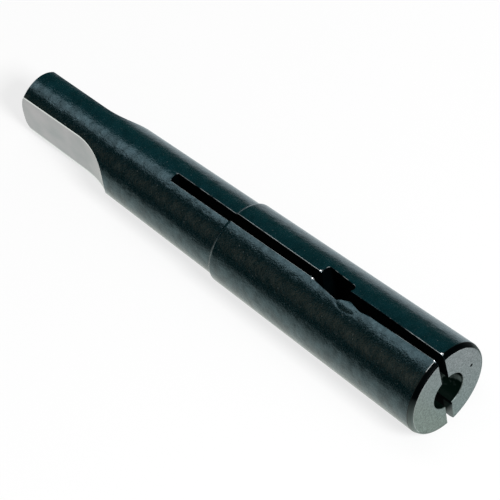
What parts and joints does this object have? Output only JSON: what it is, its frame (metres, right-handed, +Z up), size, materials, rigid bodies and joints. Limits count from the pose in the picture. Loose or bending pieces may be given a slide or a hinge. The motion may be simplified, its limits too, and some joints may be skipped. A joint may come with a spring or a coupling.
{
  "type": "drill driver sleeve",
  "caption": "Slim tapered steel sleeve, split lengthwise, with a drill bore in its wide end, a cross slot for the drill's tang and a flat driving tang at its thin end.",
  "frame": {"origin": "middle of the bounding box's underside, on the surface that the sleeve lies on", "axes": "+X towards the wide front end that takes the drill, +Y across the tang's flats, +Z up through the slit"},
  "size_m": [0.0672, 0.0122, 0.0122],
  "materials": {
    "black_oxide_steel": "hardened steel with a blue-black oxide, ground bright on the tang's flats and bare grey on the front face"
  },
  "bodies": {
    "root": {"split_sleeve": "black_oxide_steel"}
  },
  "joints": []
}
